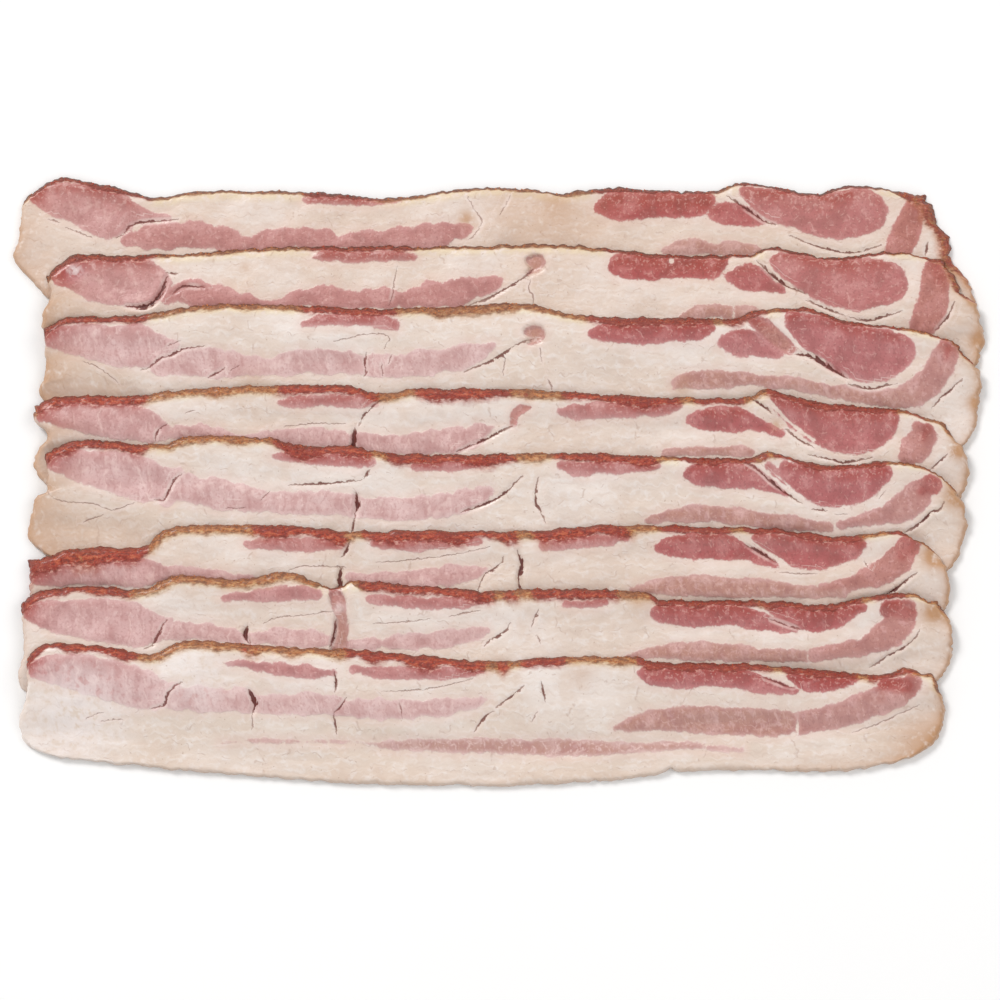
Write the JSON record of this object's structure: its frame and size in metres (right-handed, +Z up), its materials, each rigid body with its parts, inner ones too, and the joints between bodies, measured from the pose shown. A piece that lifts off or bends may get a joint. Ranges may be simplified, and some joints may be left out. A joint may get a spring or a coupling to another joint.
{
  "type": "sliced bacon",
  "caption": "Slices of smoked streaky bacon laid overlapping like shingles, with marbled lean, pale fat and a browned smoked edge.",
  "frame": {"origin": "on the table, under the middle of the whole lay of slices", "axes": "+X along the slices to the right, +Y to the back, towards the smoked edges, +Z up"},
  "size_m": [0.2796, 0.176, 0.0086],
  "materials": {
    "bacon": "moist cured meat: rose lean and cream fat, browned along the smoked edge"
  },
  "bodies": {
    "root": {"slice_1": "bacon", "slice_2": "bacon", "slice_3": "bacon", "slice_4": "bacon", "slice_5": "bacon", "slice_6": "bacon", "slice_7": "bacon", "slice_8": "bacon"}
  },
  "joints": []
}
